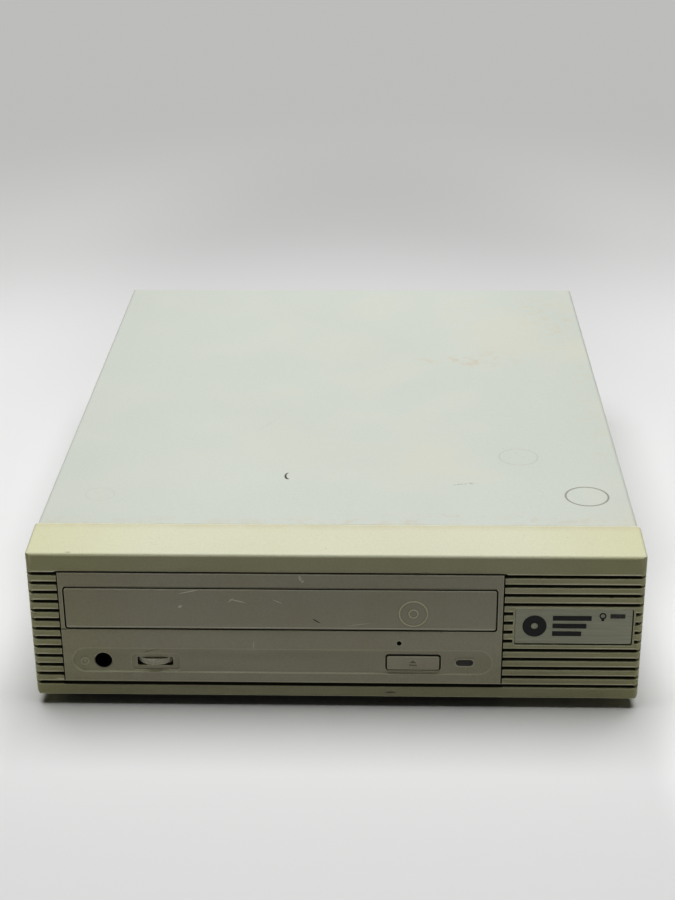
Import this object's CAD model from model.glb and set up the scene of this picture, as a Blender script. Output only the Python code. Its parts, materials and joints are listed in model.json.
"""The looks of an external optical drive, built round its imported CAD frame.

Blender works in metres. Sizes in this script are in millimetres, measured as the CAD measures
them: x across the case, y back from the bezel's front face, z up from the bezel's underside.
"""

import json
import math

import bmesh
import bpy
from mathutils import Matrix, Vector


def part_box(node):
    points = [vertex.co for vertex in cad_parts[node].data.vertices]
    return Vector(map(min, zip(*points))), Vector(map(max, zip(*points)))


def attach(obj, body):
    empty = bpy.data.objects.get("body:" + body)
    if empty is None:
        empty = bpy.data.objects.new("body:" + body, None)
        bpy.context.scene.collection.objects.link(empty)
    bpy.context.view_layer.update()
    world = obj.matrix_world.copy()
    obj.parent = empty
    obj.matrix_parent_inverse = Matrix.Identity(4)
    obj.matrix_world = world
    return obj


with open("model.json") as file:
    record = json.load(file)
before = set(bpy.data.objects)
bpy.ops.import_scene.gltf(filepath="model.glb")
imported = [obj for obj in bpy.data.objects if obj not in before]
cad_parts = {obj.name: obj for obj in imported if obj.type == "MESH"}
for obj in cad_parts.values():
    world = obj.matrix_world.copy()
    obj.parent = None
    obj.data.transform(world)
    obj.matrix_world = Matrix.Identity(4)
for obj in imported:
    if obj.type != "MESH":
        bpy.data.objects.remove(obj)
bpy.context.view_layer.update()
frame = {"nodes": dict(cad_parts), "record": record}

MM = 0.001
NODES = frame["nodes"]
FRONT_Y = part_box("front_bezel")[0].y
BASE_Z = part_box("front_bezel")[0].z
DATUM = Vector((0.0, FRONT_Y, BASE_Z))


def at(x, y, z):
    """A point given in the CAD's own millimetres, in metres in the scene."""
    return DATUM + Vector((x, y, z)) * MM


def centre_of(node):
    """The middle of a CAD node's box, in the CAD's own millimetres."""
    low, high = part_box(node)
    return ((low + high) / 2 - DATUM) / MM


# Places on the front
DRIVE_X = centre_of("drive_fascia").x
BUTTON = centre_of("eject_button")
BUSY_LAMP = centre_of("busy_led_window")
EMBLEM_X, EMBLEM_Z = 26.1, 33.2
HEADPHONE_SIGN = (-84.9, 0.0, 13.7)
DOOR_FOOT = 26.9

# Places on the rear panel
PANEL_Y = 258.0
SHEET = 1.0
PORT_X = centre_of("scsi_ports").x
PORT_Z = (13.0, 35.0)
PORT_FACE = PANEL_Y + SHEET + 1.2
JACK_X = centre_of("id_switch").x
AUDIO_Z = (25.0, 12.0)
ID_Z = centre_of("id_switch").z
SUPPLY_X = centre_of("power_switch").x
SWITCH_Z = centre_of("power_switch").z
INLET_Z = centre_of("power_inlet").z


# ---------- materials ----------


class Shader:
    """One node material while it is being built. Its coordinates are the CAD's millimetres.
    glint is where a plastic catches the light: see aged_plastic."""

    def __init__(self, name):
        self.material = bpy.data.materials.new(name)
        self.material.use_nodes = True
        self.nodes = self.material.node_tree.nodes
        self.links = self.material.node_tree.links
        self.surface = self.nodes["Principled BSDF"]
        place = self.nodes.new("ShaderNodeTexCoord").outputs["Object"]
        moved = self.vector("SUBTRACT", place, tuple(DATUM))
        self.where = self.vector("SCALE", moved, scale=1 / MM)
        self.x, self.y, self.z = self.split(self.where)
        self.glint = 0.0

    def join(self, value, socket):
        """Links a node's output to a socket, or writes a plain value into it."""
        if isinstance(value, bpy.types.NodeSocket):
            self.links.new(value, socket)
        elif value is not None:
            if socket.type == "RGBA" and len(value) == 3:
                value = (*value, 1.0)
            socket.default_value = value

    def vector(self, operation, a, b=None, scale=None):
        """One step of vector arithmetic."""
        node = self.nodes.new("ShaderNodeVectorMath")
        node.operation = operation
        self.join(a, node.inputs[0])
        if b is not None:
            self.join(b, node.inputs[1])
        if scale is not None:
            self.join(scale, node.inputs["Scale"])
        return node.outputs["Value" if operation in ("LENGTH", "DISTANCE") else "Vector"]

    def split(self, vector):
        """The x, y and z of a vector or a colour."""
        node = self.nodes.new("ShaderNodeSeparateXYZ")
        self.join(vector, node.inputs[0])
        return node.outputs["X"], node.outputs["Y"], node.outputs["Z"]

    def combine(self, x, y, z):
        """A vector from its x, y and z."""
        node = self.nodes.new("ShaderNodeCombineXYZ")
        for value, socket in zip((x, y, z), node.inputs):
            self.join(value, socket)
        return node.outputs[0]

    def math(self, operation, a, b=None):
        """One step of plain arithmetic."""
        node = self.nodes.new("ShaderNodeMath")
        node.operation = operation
        self.join(a, node.inputs[0])
        self.join(b, node.inputs[1])
        return node.outputs[0]

    def remap(self, value, low, high, to_low=0.0, to_high=1.0):
        """Stretches low..high to to_low..to_high with smooth ends."""
        node = self.nodes.new("ShaderNodeMapRange")
        node.interpolation_type = "SMOOTHSTEP"
        for number, socket in zip((value, low, high, to_low, to_high), node.inputs):
            self.join(number, socket)
        return node.outputs[0]

    def noise(self, per_mm, detail=3.0, rough=0.5, stretch=None):
        """Cloudy noise about 0.5; a small number in stretch draws it out along that axis."""
        node = self.nodes.new("ShaderNodeTexNoise")
        node.inputs["Scale"].default_value = per_mm
        node.inputs["Detail"].default_value = detail
        node.inputs["Roughness"].default_value = rough
        where = self.vector("MULTIPLY", self.where, stretch) if stretch else self.where
        self.join(where, node.inputs["Vector"])
        return node.outputs["Fac"]

    def cells(self, per_mm):
        """A random value for each cell of an irregular net."""
        node = self.nodes.new("ShaderNodeTexVoronoi")
        node.inputs["Scale"].default_value = per_mm
        self.join(self.where, node.inputs["Vector"])
        return self.split(node.outputs["Color"])[0]

    def mix(self, factor, a, b):
        """Colour a where factor is 0, and colour b where it is 1."""
        node = self.nodes.new("ShaderNodeMix")
        node.data_type = "RGBA"
        self.join(factor, node.inputs["Factor"])
        self.join(a, node.inputs["A"])
        self.join(b, node.inputs["B"])
        return node.outputs["Result"]

    def lips(self):
        """1 on narrow chamfers that slant down and forwards, the lower edges of ribs."""
        forward, up = self.split(self.nodes.new("ShaderNodeTexCoord").outputs["Normal"])[1:]
        return self.math("MULTIPLY", self.remap(up, -0.25, -0.4), self.remap(forward, -0.25, -0.5))

    def spot(self, centre, radii, turn=0.0, softness=0.5, wobble=0.0):
        """A soft-edged ellipse: 1 inside and 0 outside. centre is (x, y, z), and a radius of
        None leaves that direction out. turn is in degrees, about the axis that is left out, and
        wobble is how many millimetres the outline wanders."""
        offset = self.vector("SUBTRACT", self.where, centre)
        if wobble:
            shake = self.math("SUBTRACT", self.noise(0.35, 2.0), 0.5)
            shift = self.vector("SCALE", (1, 1, 1), scale=self.math("MULTIPLY", shake, wobble))
            offset = self.vector("ADD", offset, shift)
        if turn:
            rotate = self.nodes.new("ShaderNodeVectorRotate")
            rotate.rotation_type = "Y_AXIS" if radii[1] is None else "Z_AXIS"
            self.join(offset, rotate.inputs["Vector"])
            rotate.inputs["Angle"].default_value = math.radians(turn)
            offset = rotate.outputs[0]
        scale = tuple(0.0 if r is None else 1.0 / r for r in radii)
        reach = self.vector("LENGTH", self.vector("MULTIPLY", offset, scale))
        return self.remap(reach, 1.0 + softness / 2, 1.0 - softness / 2)

    def ring(self, centre, radius, width):
        """A thin circle drawn on a level surface."""
        flat = self.combine(self.x, self.y, 0.0)
        away = self.vector("DISTANCE", flat, (centre[0], centre[1], 0.0))
        off = self.math("ABSOLUTE", self.math("SUBTRACT", away, radius))
        return self.remap(off, width, width * 0.35)

    def edges(self, reach_mm):
        """1 along outer corners and 0 on open faces, for wear."""
        node = self.nodes.new("ShaderNodeAmbientOcclusion")
        node.inside = True
        node.only_local = True
        node.samples = 6
        node.inputs["Distance"].default_value = reach_mm * MM
        return self.remap(node.outputs["AO"], 0.97, 0.6)

    def band(self, value, low, high, soft):
        """1 between two values and 0 outside them."""
        rise = self.remap(value, low - soft, low + soft)
        fall = self.remap(value, high + soft, high - soft)
        return self.math("MULTIPLY", rise, fall)

    def scratch(self, centre, length, width, turn, upright):
        """A thin line on an upright face (x and z) or on a level one (x and y)."""
        radii = (length / 2, None, width / 2) if upright else (length / 2, width / 2, None)
        return self.spot(centre, radii, turn, 0.6)

    def bump(self, height, depth_mm, strength):
        """A surface that rises by depth_mm where height is 1."""
        node = self.nodes.new("ShaderNodeBump")
        node.inputs["Strength"].default_value = strength
        node.inputs["Distance"].default_value = depth_mm * MM
        self.join(height, node.inputs["Height"])
        return node.outputs[0]

    def finish(self, colour, roughness, normal=None, metallic=0.0, **more):
        """Links the results to the surface. Further sockets go by name, with _ for a space."""
        self.join(colour, self.surface.inputs["Base Color"])
        self.join(roughness, self.surface.inputs["Roughness"])
        self.join(metallic, self.surface.inputs["Metallic"])
        self.join(normal, self.surface.inputs["Normal"])
        for name, value in more.items():
            self.join(value, self.surface.inputs[name.replace("_", " ")])
        return self.material


def scaled(colour, factor):
    """A lighter or darker version of a colour."""
    return tuple(channel * factor for channel in colour)


# How brightly worn lips and chips glow, in place of the sharp glints they really give
LIP_GLOW = 0.06
# The grooves, the drive's opening and every other recess of the front lie inside these
RECESS_LOW, RECESS_HIGH, RECESS_HALF = 1.6, 48.4, 101.0
BEIGE = (0.70, 0.70, 0.53)
BEIGE_YELLOW = (0.65, 0.645, 0.39)
BEIGE_GREY = (0.56, 0.57, 0.47)
BEIGE_BROWN = (0.58, 0.54, 0.36)
BEIGE_WORN = (0.90, 0.90, 0.74)
BEIGE_CHIP = (0.95, 0.95, 0.88)
GRIME = (0.085, 0.08, 0.055)
PAINT = (0.63, 0.665, 0.60)


def aged_plastic(name, marks, dust_from, dust_fade, gaps=None):
    """Moulded beige ABS: fine spark grain, uneven yellowing, grime and polished edges. Dark dust
    has gathered in recesses from dust_from mm behind the front, and in the narrow gaps. marks
    and gaps are functions: one adds a piece's own marks, the other says where its gaps are."""
    s = Shader(name)
    tone = s.mix(s.remap(s.noise(0.012, 4.0), 0.35, 0.7), BEIGE, scaled(BEIGE, 0.95))
    ends = s.remap(s.math("ABSOLUTE", s.x), 50.0, 104.0, 0.0, 0.6)
    blotches = s.remap(s.noise(0.03, 5.0), 0.42, 0.8, 0.0, 0.3)
    tone = s.mix(s.math("MAXIMUM", ends, blotches), tone, BEIGE_YELLOW)
    tone = s.mix(s.remap(s.noise(0.5, 6.0), 0.58, 0.8, 0.0, 0.16), tone, BEIGE_GREY)
    tone = marks(s, tone)
    tone = s.mix(s.math("MULTIPLY", s.edges(0.5), 0.8), tone, BEIGE_WORN)
    across = s.remap(s.math("ABSOLUTE", s.x), RECESS_HALF + 0.4, RECESS_HALF - 0.4)
    inside = s.math("MULTIPLY", s.band(s.z, RECESS_LOW, RECESS_HIGH, 0.2), across)
    dust = s.math("MULTIPLY", s.remap(s.y, dust_from, dust_from + dust_fade), inside)
    lips = s.math("MULTIPLY", s.lips(), s.math("SUBTRACT", 1.0, dust))
    if gaps:
        dust = s.math("MAXIMUM", dust, s.math("MULTIPLY", gaps(s), s.math("SUBTRACT", 1.0, lips)))
    tone = s.mix(lips, tone, BEIGE_WORN)
    tone = s.mix(s.math("MULTIPLY", dust, 0.95), tone, GRIME)
    mottle = s.remap(s.noise(1.4, 5.0, 0.65), 0.3, 0.7, 0.965, 1.035)
    tone = s.vector("SCALE", tone, scale=mottle)
    grain = s.math("ADD", s.noise(2.4, 2.0, 0.6), s.math("MULTIPLY", s.noise(7.0, 1.0), 0.4))
    rough = s.remap(s.noise(0.05, 4.0), 0.3, 0.7, 0.46, 0.6)
    glow = s.math("MULTIPLY", s.math("MAXIMUM", lips, s.glint), LIP_GLOW)
    return s.finish(
        tone, rough, s.bump(grain, 0.045, 0.6), Specular_IOR_Level=0.35,
        Emission_Color=BEIGE, Emission_Strength=glow)


def bezel_marks(s, tone):
    """Browning beside the cover, clusters of dark pits and a few scuffs."""
    uneven = s.remap(s.noise(0.12, 4.0), 0.3, 0.7, 0.5, 1.0)
    rear = s.math("MULTIPLY", s.remap(s.y, 15.0, 19.6), uneven)
    tone = s.mix(s.math("MULTIPLY", rear, 0.7), tone, BEIGE_BROWN)
    clusters = s.remap(s.noise(0.06, 2.0), 0.5, 0.62)
    pits = s.math("MULTIPLY", s.remap(s.noise(1.3, 2.0), 0.7, 0.78), clusters)
    tone = s.mix(s.math("MULTIPLY", pits, 0.5), tone, GRIME)
    scuffs = [
        (s.spot((-88.0, 1.0, 54.6), (1.0, 0.4, 0.4), 0.0, 0.8), 0.35),
        (s.spot((92.0, 0.0, 39.8), (1.2, None, 0.35), 20.0, 0.8), 0.5),
        (s.spot((18.6, 0.0, 2.2), (1.8, None, 0.3), 0.0, 0.8), 0.6),
    ]
    for scuff, strength in scuffs:
        tone = s.mix(s.math("MULTIPLY", scuff, strength), tone, GRIME)
    return tone


def drive_grey(s, tone):
    """The drive's own plastic is greyer than the case's, and paler towards its lower edge."""
    low = s.vector("MULTIPLY", tone, (1.07, 1.045, 1.19))
    high = s.vector("MULTIPLY", tone, (0.93, 0.905, 1.05))
    return s.mix(s.remap(s.z, 12.0, 44.0), low, high)


def door_marks(s, tone):
    """Chips and scratches on the tray's door, its rubbed lower edge with the dirt along it, and
    the two raised rings of its emblem."""
    tone = drive_grey(s, tone)
    rubbed = s.band(s.z, DOOR_FOOT + 0.5, DOOR_FOOT + 0.8, 0.1)
    tone = s.mix(rubbed, tone, BEIGE_CHIP)
    s.glint = s.math("MULTIPLY", rubbed, 0.45)
    pale = [
        s.spot((-51.6, 0.0, 35.4), (0.75, None, 0.5), 30.0, 0.15),
        s.scratch((-48.7, 0.0, 41.0), 6.4, 0.4, 12.0, True),
        s.scratch((-32.4, 0.0, 37.7), 5.2, 0.45, -14.0, True),
        s.scratch((-34.6, 0.0, 37.9), 2.4, 0.35, 40.0, True),
        s.scratch((-19.0, 0.0, 37.5), 3.6, 0.3, -24.0, True),
        s.scratch((8.0, 0.0, 29.0), 7.0, 0.2, 8.0, True),
    ]
    for mark in pale:
        tone = s.mix(s.math("MULTIPLY", mark, 0.85), tone, BEIGE_CHIP)
        s.glint = s.math("MAXIMUM", s.glint, mark)
    dark = s.scratch((-6.2, 0.0, 30.2), 2.8, 0.4, -33.0, True)
    tone = s.mix(s.math("MULTIPLY", dark, 0.9), tone, GRIME)
    tone = s.mix(s.remap(s.z, DOOR_FOOT + 0.37, DOOR_FOOT + 0.23), tone, GRIME)
    away_x = s.math("SUBTRACT", s.x, EMBLEM_X)
    away_z = s.math("SUBTRACT", s.z, EMBLEM_Z)
    away = s.vector("LENGTH", s.combine(away_x, 0.0, away_z))
    beside = s.math("MAXIMUM", s.band(away, 4.05, 5.25, 0.12), s.band(away, 0.95, 2.0, 0.12))
    tone = s.mix(s.math("MULTIPLY", beside, 0.55), tone, BEIGE_BROWN)
    raised = s.remap(s.y, -0.64, -0.7)
    return s.mix(raised, tone, BEIGE_CHIP)


def door_gap(s):
    """The edges of the door, just behind its face."""
    return s.remap(s.y, -0.47, -0.3)


def button_gap(s):
    """The edges of the eject button, just behind its face, and a little of its sunk sign."""
    sign = s.spot((BUTTON.x, 0.0, BUTTON.z), (2.4, None, 2.0), 0.0, 0.2)
    return s.math("MULTIPLY", s.remap(s.y, -0.38, -0.2), s.remap(sign, 0.0, 1.0, 1.0, 0.45))


def wheel_marks(s, tone):
    """The volume wheel's rim is rubbed pale by thumbs."""
    return s.mix(0.55, s.vector("MULTIPLY", tone, (1.1, 1.1, 1.3)), BEIGE_CHIP)


def fascia_gap(s):
    """The rebate round the door, the button's opening and the outer edges of the fascia."""
    rebate = s.remap(s.z, 18.9, 19.1)
    button = s.math("MULTIPLY", s.remap(s.y, 0.16, 0.3), s.remap(s.x, 10.0, 10.2))
    outline = s.remap(s.math("ABSOLUTE", s.math("SUBTRACT", s.x, DRIVE_X)), 73.5, 73.8)
    edges = s.math("MULTIPLY", s.remap(s.y, -0.38, -0.28), s.math("MAXIMUM", rebate, outline))
    return s.math("MAXIMUM", edges, button)


def bezel_gap(s):
    """The walls of the opening that the drive sits in."""
    across = s.remap(s.math("ABSOLUTE", s.math("SUBTRACT", s.x, DRIVE_X)), 74.8, 74.5)
    below = s.remap(s.z, 48.5, 48.2)
    return s.math("MULTIPLY", s.remap(s.y, 0.12, 0.3), s.math("MULTIPLY", across, below))


def fascia_marks(s, tone):
    """A chip over the door, a short upright score below it, a duller strip behind the controls
    and paler raised signs. Dirt lies along the lower edges of the door's rebate and of the eject
    button's opening."""
    tone = drive_grey(s, tone)
    below_door = s.math("MULTIPLY", s.band(s.z, 26.15, 26.5, 0.06), s.band(s.x, -94.5, 35.9, 0.3))
    below_button = s.math("MULTIPLY", s.band(s.z, 10.75, 11.1, 0.08), s.band(s.x, 17.2, 35.1, 0.2))
    dirt = s.math("MAXIMUM", below_door, below_button)
    rim = s.spot((BUSY_LAMP.x, 0.0, BUSY_LAMP.z), (4.1, None, 2.1), 0.0, 0.15)
    proud = s.math("MULTIPLY", rim, s.remap(s.y, -0.02, -0.1))
    tone = s.mix(s.math("MULTIPLY", proud, 0.3), tone, (0.9, 0.82, 0.85))
    chips = [
        s.spot((-11.4, 0.0, 46.2), (0.45, None, 1.1), 12.0, 0.6),
        s.spot((-10.6, 0.0, 45.0), (0.4, None, 0.6), -30.0, 0.6),
        s.spot((-27.5, 0.0, 20.6), (0.2, None, 1.5), 0.0, 0.6),
    ]
    for chip in chips:
        tone = s.mix(s.math("MULTIPLY", chip, 0.6), tone, BEIGE_CHIP)
        s.glint = s.math("MAXIMUM", s.glint, s.math("MULTIPLY", chip, 0.7))
    tone = s.mix(dirt, tone, GRIME)
    sunk = s.band(s.z, 9.9, 18.8, 0.25)
    tone = s.mix(s.math("MULTIPLY", sunk, 0.08), tone, BEIGE_GREY)
    symbol = s.spot(HEADPHONE_SIGN, (1.6, None, 1.6), 0.0, 0.2)
    raised = s.remap(s.y, -0.02, -0.1)
    return s.mix(s.math("MULTIPLY", s.math("MULTIPLY", symbol, raised), 0.5), tone, BEIGE_WORN)


def painted_steel(name, marks):
    """Pale grey baked paint with a fine orange peel, and the marks that a function adds."""
    s = Shader(name)
    edge_fade = s.remap(s.math("ABSOLUTE", s.x), 40.0, 104.0)
    tone = s.mix(s.remap(s.noise(0.008, 4.0), 0.35, 0.7), PAINT, scaled(PAINT, 0.97))
    tone = s.mix(s.math("MULTIPLY", edge_fade, 0.6), tone, scaled(PAINT, 0.93))
    tone = s.vector("SCALE", tone, scale=s.remap(s.noise(1.0, 4.0, 0.6), 0.3, 0.7, 0.98, 1.02))
    tone = marks(s, tone)
    peel = s.math("ADD", s.noise(1.1, 3.0, 0.6), s.math("MULTIPLY", s.noise(4.0, 1.0), 0.3))
    rough = s.remap(s.noise(0.04, 4.0), 0.3, 0.7, 0.38, 0.5)
    return s.finish(tone, rough, s.bump(peel, 0.035, 0.5), Specular_IOR_Level=0.4)


def cover_marks(s, tone):
    """Yellow stains and haze, round marks, dotted scratches, specks and one dark nick, which is
    the part of one ellipse that a second one beside it leaves uncovered."""
    blot = s.noise(0.16, 6.0, 0.7)
    patchy = s.remap(blot, 0.48, 0.62)
    stains = [
        ((50.0, 170.0), (17.0, 5.0), 0.7, (0.58, 0.49, 0.38)),
        ((62.0, 178.0), (7.0, 6.0), 0.45, (0.61, 0.52, 0.40)),
        ((88.0, 214.0), (12.0, 28.0), 0.55, (0.61, 0.57, 0.43)),
        ((74.0, 240.0), (22.0, 9.0), 0.4, (0.63, 0.60, 0.46)),
        ((97.0, 120.0), (5.0, 70.0), 0.35, (0.60, 0.58, 0.46)),
        ((60.0, 22.0), (60.0, 5.0), 0.45, (0.58, 0.54, 0.42)),
        ((-60.0, 21.0), (70.0, 3.5), 0.35, (0.60, 0.57, 0.44)),
    ]
    for (x, y), (rx, ry), strength, colour in stains:
        area = s.spot((x, y, 0.0), (rx, ry, None), 0.0, 1.2, 9.0)
        tone = s.mix(s.math("MULTIPLY", s.math("MULTIPLY", area, patchy), strength), tone, colour)
    haze = s.remap(s.noise(0.02, 5.0), 0.44, 0.66, 0.0, 0.5)
    haze = s.math("MULTIPLY", haze, s.remap(s.x, -60.0, 60.0, 0.3, 1.0))
    tone = s.mix(haze, tone, (0.66, 0.655, 0.545))
    rings = [
        ((86.7, 41.9), 7.4, 0.5, 0.75, (0.20, 0.19, 0.15)),
        ((65.1, 74.5), 7.0, 0.45, 0.28, (0.40, 0.36, 0.26)),
        ((-83.5, 41.8), 5.0, 0.4, 0.18, (0.45, 0.42, 0.34)),
    ]
    for centre, radius, width, strength, colour in rings:
        tone = s.mix(s.math("MULTIPLY", s.ring(centre, radius, width), strength), tone, colour)
    nick = s.math(
        "SUBTRACT", s.spot((-18.3, 57.3, 0.0), (1.3, 2.7, None), 0.0, 0.3),
        s.spot((-17.5, 57.6, 0.0), (1.4, 2.6, None), 0.0, 0.3))
    tone = s.mix(s.math("MAXIMUM", nick, 0.0), tone, (0.05, 0.05, 0.045))
    dots = s.noise(1.1, 2.0)
    lines = [
        ((-25.4, 108.7, 0.0), 33.0, 0.5, -61.0, 0.22),
        ((44.7, 51.4, 0.0), 9.0, 1.6, -12.0, 0.6),
        ((-60.0, 92.0, 0.0), 14.0, 0.35, 38.0, 0.10),
        ((20.0, 142.0, 0.0), 18.0, 0.3, -22.0, 0.10),
    ]
    for centre, length, width, turn, strength in lines:
        line = s.scratch(centre, length, width, turn, False)
        line = s.math("MULTIPLY", line, s.remap(dots, 0.42, 0.6))
        tone = s.mix(s.math("MULTIPLY", line, strength), tone, (0.34, 0.33, 0.28))
    specks = s.math(
        "MULTIPLY", s.remap(s.noise(0.9, 2.0), 0.72, 0.78), s.remap(s.noise(0.03, 3.0), 0.48, 0.62))
    return s.mix(s.math("MULTIPLY", specks, 0.45), tone, (0.30, 0.27, 0.20))


def plated_steel(name):
    """Zinc plated sheet: faint crystals and rolling streaks."""
    s = Shader(name)
    colour = (0.62, 0.63, 0.62)
    crystals = s.mix(s.remap(s.cells(0.22), 0.2, 0.8), colour, scaled(colour, 0.92))
    streaks = s.noise(0.6, 4.0, 0.6, stretch=(0.04, 1.0, 1.0))
    tone = s.mix(s.remap(streaks, 0.4, 0.75, 0.0, 0.3), crystals, scaled(colour, 0.8))
    rough = s.remap(s.noise(0.15, 4.0), 0.3, 0.7, 0.3, 0.48)
    return s.finish(tone, rough, s.bump(streaks, 0.01, 0.3), metallic=0.9)


def bright_steel(name, colour=(0.7, 0.7, 0.69)):
    """Turned or drawn steel with fine scratches along its length."""
    s = Shader(name)
    lines = s.noise(3.0, 3.0, 0.6, stretch=(1.0, 0.08, 1.0))
    tone = s.mix(s.remap(lines, 0.35, 0.7, 0.0, 0.35), colour, scaled(colour, 0.7))
    return s.finish(tone, s.remap(lines, 0.3, 0.7, 0.2, 0.38), s.bump(lines, 0.01, 0.3), metallic=1.0)


def moulded_plastic(name, colour, roughness=0.5, grain_depth=0.02):
    """Plain moulded plastic with a soft grain and slight flow marks."""
    s = Shader(name)
    flow = s.noise(0.06, 4.0, 0.6)
    tone = s.mix(s.remap(flow, 0.35, 0.7), colour, scaled(colour, 0.78))
    grain = s.noise(3.0, 2.0)
    rough = s.remap(flow, 0.3, 0.7, roughness - 0.06, roughness + 0.06)
    return s.finish(tone, rough, s.bump(grain, grain_depth, 0.5))


def dull_black(name):
    """Deep black plastic with no shine."""
    s = Shader(name)
    tone = s.mix(s.noise(0.8, 3.0), (0.005, 0.005, 0.005), (0.009, 0.009, 0.009))
    return s.finish(tone, 0.9, s.bump(s.noise(3.0, 2.0), 0.02, 0.4), Specular_IOR_Level=0.0)


def rubber(name):
    """Black rubber with a little dust on it."""
    s = Shader(name)
    dust = s.remap(s.noise(0.8, 5.0), 0.5, 0.8, 0.0, 0.35)
    tone = s.mix(dust, (0.018, 0.018, 0.019), (0.07, 0.068, 0.06))
    return s.finish(tone, 0.75, s.bump(s.noise(2.0, 3.0), 0.03, 0.5), Specular_IOR_Level=0.3)


def badge_metal(name):
    """Brushed plate with printed marks: the raised marks carry black ink."""
    s = Shader(name)
    lines = s.noise(1.6, 3.0, 0.7, stretch=(0.03, 1.0, 1.0))
    silver = s.mix(s.remap(lines, 0.3, 0.7), (0.415, 0.425, 0.34), (0.36, 0.37, 0.298))
    ink = s.remap(s.y, 0.31, 0.29)
    tone = s.mix(ink, silver, (0.006, 0.006, 0.006))
    rough = s.mix(ink, (0.42, 0.42, 0.42), (0.5, 0.5, 0.5))
    metal = s.remap(s.y, 0.29, 0.31, 0.0, 0.35)
    return s.finish(tone, rough, s.bump(lines, 0.01, 0.3), metallic=metal)


def circuit_board(name, colour, copper):
    """A coated board: tracks show through as a lighter, slightly raised maze."""
    s = Shader(name)
    tracks = s.remap(s.cells(0.5), 0.52, 0.6)
    tone = s.mix(s.math("MULTIPLY", tracks, 0.5), colour, copper)
    tone = s.mix(s.remap(s.noise(0.05, 4.0), 0.4, 0.7, 0.0, 0.3), tone, scaled(colour, 0.7))
    return s.finish(tone, 0.32, s.bump(tracks, 0.03, 0.4), Specular_IOR_Level=0.6)


def within(s, centre, half):
    """1 inside a box given by its middle and half sizes; a half size of None leaves it open."""
    inside = 1.0
    for value, middle, reach in zip((s.x, s.y, s.z), centre, half):
        if reach is not None:
            off = s.math("ABSOLUTE", s.math("SUBTRACT", value, middle))
            inside = s.math("MULTIPLY", inside, s.remap(off, reach + 0.03, reach - 0.03))
    return inside


def inlet_plastic(name):
    """Black moulding with three plated pins."""
    s = Shader(name)
    pins = 0.0
    for x, z in ((-7.0, -2.0), (7.0, -2.0), (0.0, 2.6)):
        pin = within(s, (SUPPLY_X + x, PANEL_Y - 7.0, INLET_Z + z), (1.06, 5.6, 2.06))
        pins = s.math("MAXIMUM", pins, pin)
    tone = s.mix(s.remap(s.noise(0.06, 4.0), 0.35, 0.7), (0.02, 0.02, 0.021), (0.014, 0.014, 0.014))
    tone = s.mix(pins, tone, (0.72, 0.70, 0.64))
    rough = s.remap(pins, 0.0, 1.0, 0.45, 0.28)
    return s.finish(tone, rough, s.bump(s.noise(3.0, 2.0), 0.02, 0.5), metallic=pins)


def rocker_plastic(name):
    """Black rocker with a white ring at one end and a white bar at the other."""
    s = Shader(name)
    away_x = s.math("SUBTRACT", s.x, SUPPLY_X + 4.6)
    away_z = s.math("SUBTRACT", s.z, SWITCH_Z)
    away = s.vector("LENGTH", s.combine(away_x, 0.0, away_z))
    ring = s.band(away, 1.05, 1.5, 0.06)
    bar_mark = within(s, (SUPPLY_X - 4.4, 0.0, SWITCH_Z), (0.25, None, 1.5))
    face = s.remap(s.y, PANEL_Y - 0.8, PANEL_Y - 0.4)
    ink = s.math("MULTIPLY", s.math("MAXIMUM", ring, bar_mark), face)
    tone = s.mix(s.remap(s.noise(0.1, 4.0), 0.35, 0.7), (0.022, 0.022, 0.023), (0.016, 0.016, 0.016))
    tone = s.mix(ink, tone, (0.75, 0.75, 0.72))
    return s.finish(tone, 0.35, s.bump(s.noise(3.0, 2.0), 0.015, 0.5))


def ribbon_cable(name):
    """Grey flat cable: fifty moulded ridges and a red first wire."""
    s = Shader(name)
    wire_pitch, first_wire = 1.27, -77.0
    across = s.math("SUBTRACT", s.x, first_wire)
    ridge = s.math("ABSOLUTE", s.math("SINE", s.math("MULTIPLY", across, math.pi / wire_pitch)))
    tone = s.mix(s.remap(ridge, 0.0, 0.6), (0.18, 0.19, 0.20), (0.40, 0.41, 0.43))
    red = s.remap(s.x, first_wire + 1.5, first_wire + 1.3)
    tone = s.mix(red, tone, (0.45, 0.04, 0.03))
    plug = s.math("MULTIPLY", s.remap(s.y, 210.6, 210.3), s.remap(s.z, 9.5, 9.7))
    tone = s.mix(plug, tone, (0.02, 0.02, 0.02))
    return s.finish(tone, 0.45, s.bump(ridge, 0.25, 0.8))


def port_metal(name):
    """Plated port shells round a black insulator."""
    s = Shader(name)
    plate = s.remap(s.y, PANEL_Y + SHEET - 0.1, PANEL_Y + SHEET)
    tongues = 0.0
    for z in PORT_Z:
        tongue = within(s, (PORT_X, 0.0, z), (31.2, None, 1.36))
        socket_floor = within(s, (PORT_X, PORT_FACE, z), (35.4, 0.4, 4.9))
        tongues = s.math("MAXIMUM", tongues, s.math("MAXIMUM", tongue, socket_floor))
    black = s.math("MAXIMUM", s.math("MULTIPLY", tongues, plate), s.math("SUBTRACT", 1.0, plate))
    streaks = s.noise(0.6, 4.0, 0.6, stretch=(0.04, 1.0, 1.0))
    silver = s.mix(s.remap(streaks, 0.4, 0.75, 0.0, 0.4), (0.66, 0.66, 0.64), (0.5, 0.5, 0.48))
    tone = s.mix(black, silver, (0.02, 0.02, 0.02))
    rough = s.remap(s.noise(0.15, 4.0), 0.3, 0.7, 0.28, 0.42)
    metal = s.math("SUBTRACT", 1.0, black)
    return s.finish(tone, rough, s.bump(streaks, 0.01, 0.3), metallic=metal)


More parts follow.
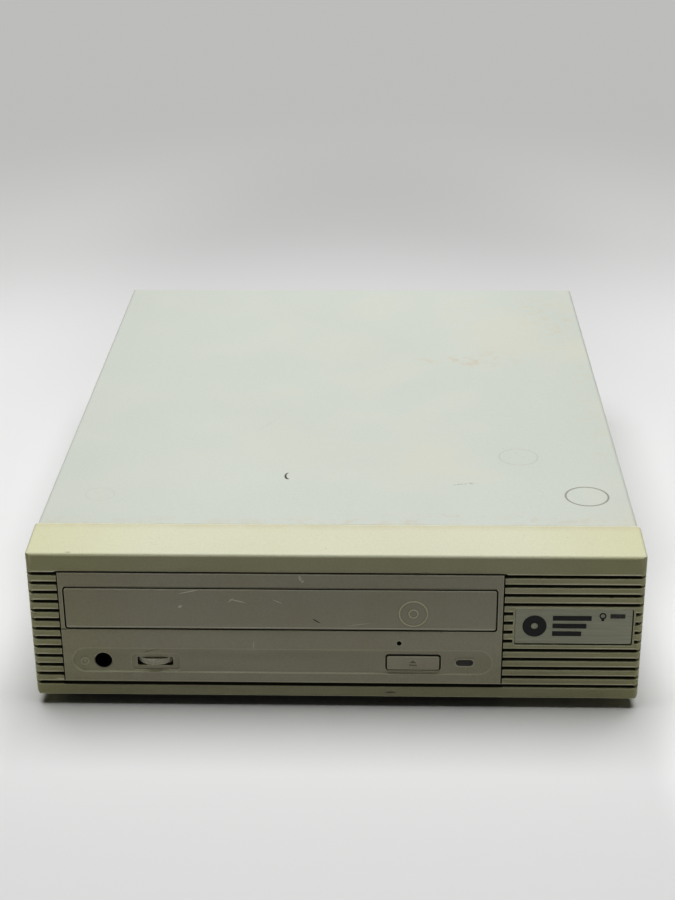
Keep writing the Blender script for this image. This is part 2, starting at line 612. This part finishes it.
# Finishes, by the name of a CAD node or of a material slot
MATERIALS = {
    "front_bezel": lambda: aged_plastic("bezel_abs", bezel_marks, 0.45, 0.4, bezel_gap),
    "power_inlet": lambda: inlet_plastic("inlet_plastic"),
    "power_rocker": lambda: rocker_plastic("rocker_plastic"),
    "scsi_ribbon": lambda: ribbon_cable("ribbon_cable"),
    "scsi_ports": lambda: port_metal("port_metal"),
    "drive_fascia": lambda: aged_plastic("fascia_abs", fascia_marks, 0.72, 0.3, fascia_gap),
    "tray_front": lambda: aged_plastic("door_abs", door_marks, 0.3, 0.3, door_gap),
    "eject_button": lambda: aged_plastic("button_abs", drive_grey, 0.3, 0.3, button_gap),
    "volume_wheel": lambda: aged_plastic("wheel_abs", wheel_marks, 40.0, 1.0),
    "headphone_jack": lambda: dull_black("socket_black"),
    "top_cover": lambda: painted_steel("cover_paint", cover_marks),
    "zinc_steel": lambda: plated_steel("zinc_plated_steel"),
    "rubber": lambda: rubber("black_rubber"),
    "badge_metal": lambda: badge_metal("brushed_badge"),
    "smoked_plastic": lambda: moulded_plastic("smoked_window", (0.06, 0.055, 0.05), 0.25, 0.005),
    "led_body": lambda: moulded_plastic("tinted_epoxy", (0.25, 0.36, 0.16), 0.2, 0.005),
    "black_plastic": lambda: moulded_plastic("black_plastic", (0.02, 0.02, 0.021), 0.45),
    "dark_plastic": lambda: moulded_plastic("charcoal_plastic", (0.045, 0.045, 0.048), 0.5),
    "white_plastic": lambda: moulded_plastic("white_acetal", (0.72, 0.71, 0.66), 0.4),
    "board_green": lambda: circuit_board("green_board", (0.02, 0.13, 0.05), (0.06, 0.25, 0.10)),
    "board_brown": lambda: circuit_board("brown_board", (0.36, 0.24, 0.10), (0.45, 0.33, 0.17)),
    "bare_steel": lambda: bright_steel("bright_steel"),
    "wire_red": lambda: moulded_plastic("red_vinyl", (0.45, 0.03, 0.02), 0.4),
    "winding": lambda: moulded_plastic("amber_tape", (0.62, 0.42, 0.08), 0.35),
    "capacitor_blue": lambda: moulded_plastic("blue_sleeve", (0.015, 0.03, 0.12), 0.3),
    "aluminium": lambda: bright_steel("extruded_aluminium", (0.78, 0.78, 0.78)),
    "brass": lambda: bright_steel("plated_brass", (0.75, 0.6, 0.3)),
}


# ---------- pieces ----------


def shading_nodes():
    """A node group that shades smoothly and leaves every edge sharper than 30 degrees crisp."""
    group = bpy.data.node_groups.new("shade_by_angle", "GeometryNodeTree")
    group.interface.new_socket("Geometry", in_out="INPUT", socket_type="NodeSocketGeometry")
    group.interface.new_socket("Geometry", in_out="OUTPUT", socket_type="NodeSocketGeometry")
    source = group.nodes.new("NodeGroupInput")
    target = group.nodes.new("NodeGroupOutput")
    angle = group.nodes.new("GeometryNodeInputMeshEdgeAngle")
    flat_enough = group.nodes.new("FunctionNodeCompare")
    flat_enough.operation = "LESS_THAN"
    flat_enough.inputs["B"].default_value = math.radians(30)
    faces = group.nodes.new("GeometryNodeSetShadeSmooth")
    edges = group.nodes.new("GeometryNodeSetShadeSmooth")
    edges.domain = "EDGE"
    group.links.new(source.outputs[0], faces.inputs["Geometry"])
    group.links.new(faces.outputs[0], edges.inputs["Geometry"])
    group.links.new(angle.outputs["Unsigned Angle"], flat_enough.inputs["A"])
    group.links.new(flat_enough.outputs[0], edges.inputs["Shade Smooth"])
    group.links.new(edges.outputs[0], target.inputs[0])
    return group


SHADE_BY_ANGLE = shading_nodes()


def soften(piece, radius=0.0):
    """Clean faces and, where a radius is given, rounded edges, without touching the mesh."""
    weld = piece.modifiers.new("weld", "WELD")
    weld.merge_threshold = 0.002 * MM
    dissolve = piece.modifiers.new("dissolve", "DECIMATE")
    dissolve.decimate_type = "DISSOLVE"
    dissolve.angle_limit = math.radians(0.6)
    if radius:
        bevel = piece.modifiers.new("bevel", "BEVEL")
        bevel.width = radius * MM
        bevel.segments = 2
        bevel.limit_method = "ANGLE"
        bevel.angle_limit = math.radians(35)
        bevel.use_clamp_overlap = True
        bevel.miter_outer = "MITER_ARC"
        bevel.harden_normals = False
    smooth = piece.modifiers.new("shade", "NODES")
    smooth.node_group = SHADE_BY_ANGLE
    if radius:
        flatten = piece.modifiers.new("flatten", "WEIGHTED_NORMAL")
        flatten.keep_sharp = True
        flatten.mode = "FACE_AREA"
        flatten.weight = 100


def assign(piece, material):
    """Gives a piece one material all over."""
    piece.data.materials.clear()
    piece.data.materials.append(material)


# ---------- details the CAD leaves plain ----------


def bar(work, x0, x1, y0, y1, z0, z1, chamfer=0.0):
    """A bar in the CAD's millimetres, whose front and back rims may be chamfered."""
    rims = [(y0, 0.0), (y1, 0.0)]
    if chamfer:
        rims = [(y0, chamfer), (y0 + chamfer, 0.0), (y1 - chamfer, 0.0), (y1, chamfer)]
    loops = []
    for y, inset in rims:
        left, right = x0 + inset, x1 - inset
        low, high = z0 + inset, z1 - inset
        corners = [(left, low), (right, low), (right, high), (left, high)]
        loops.append([work.verts.new(at(x, y, z)) for x, z in corners])
    close_tube(work, loops)


def close_tube(work, loops):
    """Faces between loops of the same length, and a cap at each end."""
    count = len(loops[0])
    for near, far in zip(loops, loops[1:]):
        for i in range(count):
            j = (i + 1) % count
            work.faces.new((near[i], near[j], far[j], far[i]))
    work.faces.new(list(reversed(loops[0])))
    work.faces.new(loops[-1])


def lathe(work, x, z, profile):
    """A ring round a line that runs front to back; profile is a closed list of (radius, y)."""
    turns = 48
    rings = []
    for turn in range(turns):
        a = math.tau * turn / turns
        points = [(x + r * math.cos(a), y, z + r * math.sin(a)) for r, y in profile]
        rings.append([work.verts.new(at(*point)) for point in points])
    for turn in range(turns):
        one, two = rings[turn], rings[(turn + 1) % turns]
        for i in range(len(profile)):
            j = (i + 1) % len(profile)
            work.faces.new((one[i], one[j], two[j], two[i]))


def piece(name, work, material, body):
    """Makes an object of the finished mesh and fixes it to a moving body."""
    bmesh.ops.recalc_face_normals(work, faces=work.faces)
    mesh = bpy.data.meshes.new(name)
    work.to_mesh(mesh)
    work.free()
    made = bpy.data.objects.new(name, mesh)
    bpy.context.scene.collection.objects.link(made)
    assign(made, material)
    soften(made)
    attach(made, body)


def port_contacts(material):
    """Fifty spring contacts on each port's tongue, in two rows."""
    pitch, count, half = 2.16, 25, 0.55
    y0, y1 = PORT_FACE + 0.1, PORT_FACE + 5.0
    for number, port_z in enumerate(PORT_Z, start=1):
        work = bmesh.new()
        for i in range(count):
            x = PORT_X + (i - (count - 1) / 2) * pitch
            for z0 in (port_z - 1.5, port_z + 1.28):
                bar(work, x - half, x + half, y0, y1, z0, z0 + 0.22, 0.08)
        piece(f"port_contacts_{number}", work, material, "case")


def phono_collars(materials):
    """A coloured insulating ring in the mouth of each phono socket and one at its root."""
    mouth = PANEL_Y + 10.2
    mouth_ring = [(1.72, mouth - 0.05), (1.72, mouth + 0.25), (3.0, mouth + 0.25), (3.1, mouth - 0.05)]
    root, top = PANEL_Y + 2.22, PANEL_Y + 3.7
    root_ring = [(4.17, root), (5.2, root), (5.2, top - 0.3), (4.9, top), (4.17, top)]
    for z, (name, material) in zip(AUDIO_Z, materials.items()):
        work = bmesh.new()
        lathe(work, JACK_X, z, mouth_ring)
        lathe(work, JACK_X, z, root_ring)
        piece(f"phono_collar_{name}", work, material, "case")


def id_marks(material):
    """A plus and a minus moulded on the ends of the two small buttons."""
    y0, y1 = PANEL_Y + 3.18, PANEL_Y + 3.28
    plus = bmesh.new()
    bar(plus, JACK_X - 0.7, JACK_X + 0.7, y0, y1, ID_Z + 5.28, ID_Z + 5.52)
    bar(plus, JACK_X - 0.12, JACK_X + 0.12, y0, y1, ID_Z + 4.75, ID_Z + 6.05)
    piece("id_plus_mark", plus, material, "id_plus")
    minus = bmesh.new()
    bar(minus, JACK_X - 0.7, JACK_X + 0.7, y0, y1, ID_Z - 5.52, ID_Z - 5.28)
    piece("id_minus_mark", minus, material, "id_minus")


# The strokes of a seven-part figure, as (x0, x1, z0, z1) in millimetres before scaling
SEGMENTS = {
    "top": (-0.5, 0.5, 0.86, 1.06),
    "middle": (-0.5, 0.5, -0.1, 0.1),
    "bottom": (-0.5, 0.5, -1.06, -0.86),
    "upper_left": (0.4, 0.6, 0.05, 1.0),
    "upper_right": (-0.6, -0.4, 0.05, 1.0),
    "lower_left": (0.4, 0.6, -1.0, -0.05),
    "lower_right": (-0.6, -0.4, -1.0, -0.05),
}
DIGITS = [
    "top bottom upper_left upper_right lower_left lower_right",
    "upper_right lower_right",
    "top upper_right middle lower_left bottom",
    "top upper_right middle lower_right bottom",
    "upper_left upper_right middle lower_right",
    "top upper_left middle lower_right bottom",
    "top upper_left middle lower_left lower_right bottom",
    "top upper_right lower_right",
    "top middle bottom upper_left upper_right lower_left lower_right",
    "top middle bottom upper_left upper_right lower_right",
]


def wheel_numbers(material):
    """The numbers 0 to 9 round the address wheel, one on each flat."""
    axis = at(JACK_X, PANEL_Y - 2.8, ID_Z)
    wheel_radius, flats, scale = 3.6, 10, 0.78
    flat = wheel_radius * math.cos(math.pi / flats)
    work = bmesh.new()
    for number, strokes in enumerate(DIGITS):
        turn = Matrix.Rotation(math.tau * (number + 0.5) / flats - math.pi / 2, 3, "X")
        for stroke in strokes.split():
            x0, x1, z0, z1 = (scale * edge for edge in SEGMENTS[stroke])
            loops = []
            for y in (flat - 0.03, flat + 0.05):
                corners = [(x0, y, z0), (x1, y, z0), (x1, y, z1), (x0, y, z1)]
                loops.append([work.verts.new(axis + turn @ Vector(c) * MM) for c in corners])
            close_tube(work, loops)
    piece("id_wheel_numbers", work, material, "id_wheel")


def add_details():
    """The small pieces that only the eye needs."""
    gold = bright_steel("gold_contacts", (0.83, 0.62, 0.25))
    ink = moulded_plastic("black_ink", (0.01, 0.01, 0.01), 0.5)
    port_contacts(gold)
    phono_collars({
        "white": moulded_plastic("white_collar", (0.78, 0.77, 0.72), 0.35),
        "red": moulded_plastic("red_collar", (0.50, 0.03, 0.025), 0.35),
    })
    id_marks(ink)
    wheel_numbers(ink)


# ---------- stage, light and camera ----------


def bowl(name, drop, shade):
    """A round sheet of paper, in metres: flat under the case, and curving up to a wall far away
    all round. drop is how far under the floor it lies."""
    flat, bend, height = 1.7, 0.5, 1.9
    turns, steps = 96, 16
    profile = [(flat * step / steps, 0.0) for step in range(1, steps + 1)]
    for step in range(1, steps + 1):
        a = math.radians(90 * step / steps)
        profile.append((flat + bend * math.sin(a), bend - bend * math.cos(a)))
    profile.append((flat + bend, height))
    work = bmesh.new()
    middle = work.verts.new((0.0, 0.0, -drop))
    angles = [math.tau * turn / turns for turn in range(turns)]
    rings = []
    for radius, z in profile:
        points = [(radius * math.cos(a), radius * math.sin(a), z - drop) for a in angles]
        rings.append([work.verts.new(point) for point in points])
    for turn in range(turns):
        after = (turn + 1) % turns
        work.faces.new((middle, rings[0][turn], rings[0][after]))
        for inner, outer in zip(rings, rings[1:]):
            work.faces.new((inner[turn], outer[turn], outer[after], inner[after])).smooth = True
    mesh = bpy.data.meshes.new(name)
    work.to_mesh(mesh)
    work.free()
    paper = bpy.data.objects.new(name, mesh)
    bpy.context.scene.collection.objects.link(paper)
    assign(paper, shade(Shader(name)))
    return paper


def beside_case(s):
    """How much brighter the floor is on each side of the case's front."""
    along = s.math("MULTIPLY", s.remap(s.y, -100.0, -40.0), s.remap(s.y, 120.0, 40.0))
    out = s.remap(s.math("ABSOLUTE", s.x), 220.0, 130.0)
    left = s.remap(s.x, -104.0, -125.0, 0.0, 0.15)
    right = s.remap(s.x, 100.0, 120.0, 0.0, 0.26)
    return s.math("MULTIPLY", s.math("MULTIPLY", along, out), s.math("ADD", left, right))


def pale_paper(s):
    """White paper, lit by the lamp near the case. Far away it glows evenly instead, and is a
    little dimmer behind the case, so that it looks alike from all round."""
    paper = s.mix(s.noise(0.004, 3.0), (0.79, 0.79, 0.79), (0.77, 0.77, 0.77))
    paper = s.vector("SCALE", paper, scale=s.remap(s.y, -90.0, 40.0, 1.0, 1.08))
    paper = s.vector("SCALE", paper, scale=s.math("ADD", beside_case(s), 1.0))
    away = s.vector("LENGTH", s.vector("SUBTRACT", s.where, (0.0, 134.0, 0.0)))
    quick_fade = s.remap(away, 250.0, 430.0, 0.42, 0.0)
    slow_fade = s.remap(away, 300.0, 760.0, 0.58, 0.0)
    near = s.math("ADD", quick_fade, slow_fade)
    behind = s.spot((0.0, 430.0, 0.0), (150.0, 260.0, None), 0.0, 1.4)
    dim = s.remap(behind, 0.0, 1.0, 1.0, 0.84)
    tone = s.mix(s.math("MULTIPLY", near, dim), (0.0, 0.0, 0.0), paper)
    glow = s.math("MULTIPLY", s.math("SUBTRACT", 1.0, near), s.math("MULTIPLY", dim, 0.5))
    fibres = s.bump(s.noise(0.8, 4.0), 0.05, 0.3)
    return s.finish(
        tone, 0.85, fibres, Specular_IOR_Level=0.1,
        Emission_Color=(1.0, 1.0, 0.985), Emission_Strength=glow)


def grey_paper(s):
    """The dimmer sheet that lights the front and the sides of the case."""
    return s.finish((0.36, 0.352, 0.318), 0.85, Specular_IOR_Level=0.2)


def paper_floor():
    """The pale paper that is seen, and a greyer sheet just under it. The seen sheet throws no
    light back onto the case; the grey one does, as a paper floor does in a dimmer room."""
    seen = bowl("paper_bowl", 0.0, pale_paper)
    seen.visible_diffuse = False
    seen.visible_shadow = False
    lower = bowl("bounce_bowl", 0.001, grey_paper)
    lower.visible_camera = False
    lower.visible_glossy = False


def studio_light():
    """One large softbox over the case, and a faint bluish room. Places are in metres."""
    place = Vector((0.0, FRONT_Y + 0.28, 1.25))
    target = Vector((0.0, FRONT_Y + 0.12, 0.03))
    lamp = bpy.data.lights.new("overhead_softbox", "AREA")
    lamp.shape = "RECTANGLE"
    lamp.size, lamp.size_y = 1.3, 1.0
    lamp.energy = 19.4
    softbox = bpy.data.objects.new("overhead_softbox", lamp)
    bpy.context.scene.collection.objects.link(softbox)
    softbox.location = place
    softbox.rotation_euler = (target - place).to_track_quat("-Z", "Y").to_euler()
    world = bpy.data.worlds.new("studio")
    world.use_nodes = True
    world.node_tree.nodes["Background"].inputs["Color"].default_value = (0.93, 0.96, 1.0, 1.0)
    world.node_tree.nodes["Background"].inputs["Strength"].default_value = 0.02
    bpy.context.scene.world = world


def tone_curve():
    """A plain transform whose darkest tones are pulled down a little, as a camera does."""
    settings = bpy.context.scene.view_settings
    settings.view_transform = "Standard"
    settings.exposure = 0.0
    settings.use_curve_mapping = True
    curve = settings.curve_mapping.curves[3]
    curve.points[0].location = (0.0, 0.0)
    curve.points[1].location = (1.0, 1.0)
    curve.points.new(0.05, 0.026)
    curve.points.new(0.15, 0.115)
    curve.points.new(0.32, 0.30)
    curve.points.new(0.6, 0.6)
    settings.curve_mapping.update()


def aim_camera():
    """The camera stands half a metre in front of the case and looks down at it. Its turn is
    towards the left, its tilt is down and its roll is clockwise."""
    place = at(17.1, -494.4, 318.3)
    turn, tilt, roll = math.radians(-1.83), math.radians(24.52), math.radians(0.5)
    level_reach = math.cos(tilt)
    ahead = Vector((math.sin(turn) * level_reach, math.cos(turn) * level_reach, -math.sin(tilt)))
    level = Vector((math.cos(turn), -math.sin(turn), 0.0))
    down = ahead.cross(level)
    right = math.cos(roll) * level + math.sin(roll) * down
    up = math.sin(roll) * level - math.cos(roll) * down
    data = bpy.data.cameras.new("camera")
    data.sensor_width = 36.0
    data.lens = 68.32
    data.clip_start = 0.01
    camera = bpy.data.objects.new("camera", data)
    bpy.context.scene.collection.objects.link(camera)
    axes = Matrix((right, up, -ahead)).transposed().to_4x4()
    camera.matrix_world = Matrix.Translation(place) @ axes
    bpy.context.scene.camera = camera


# Rounding of the edges that the camera sees closest
EDGE_RADII = {
    "front_bezel": 0.1,
    "drive_fascia": 0.12,
    "tray_front": 0.15,
    "eject_button": 0.15,
}


def dress_nodes():
    """Every CAD node gets the finish of its own name or else of its slot, and the ones with
    visible corners get rounded edges."""
    slots = {part["node"]: part["material_slot"] for part in frame["record"]["subparts"]}
    made = {slot: build() for slot, build in MATERIALS.items()}
    for node, slot in slots.items():
        soften(NODES[node], EDGE_RADII.get(node, 0.0))
        assign(NODES[node], made[node if node in made else slot])


aim_camera()
paper_floor()
studio_light()
dress_nodes()
add_details()
tone_curve()
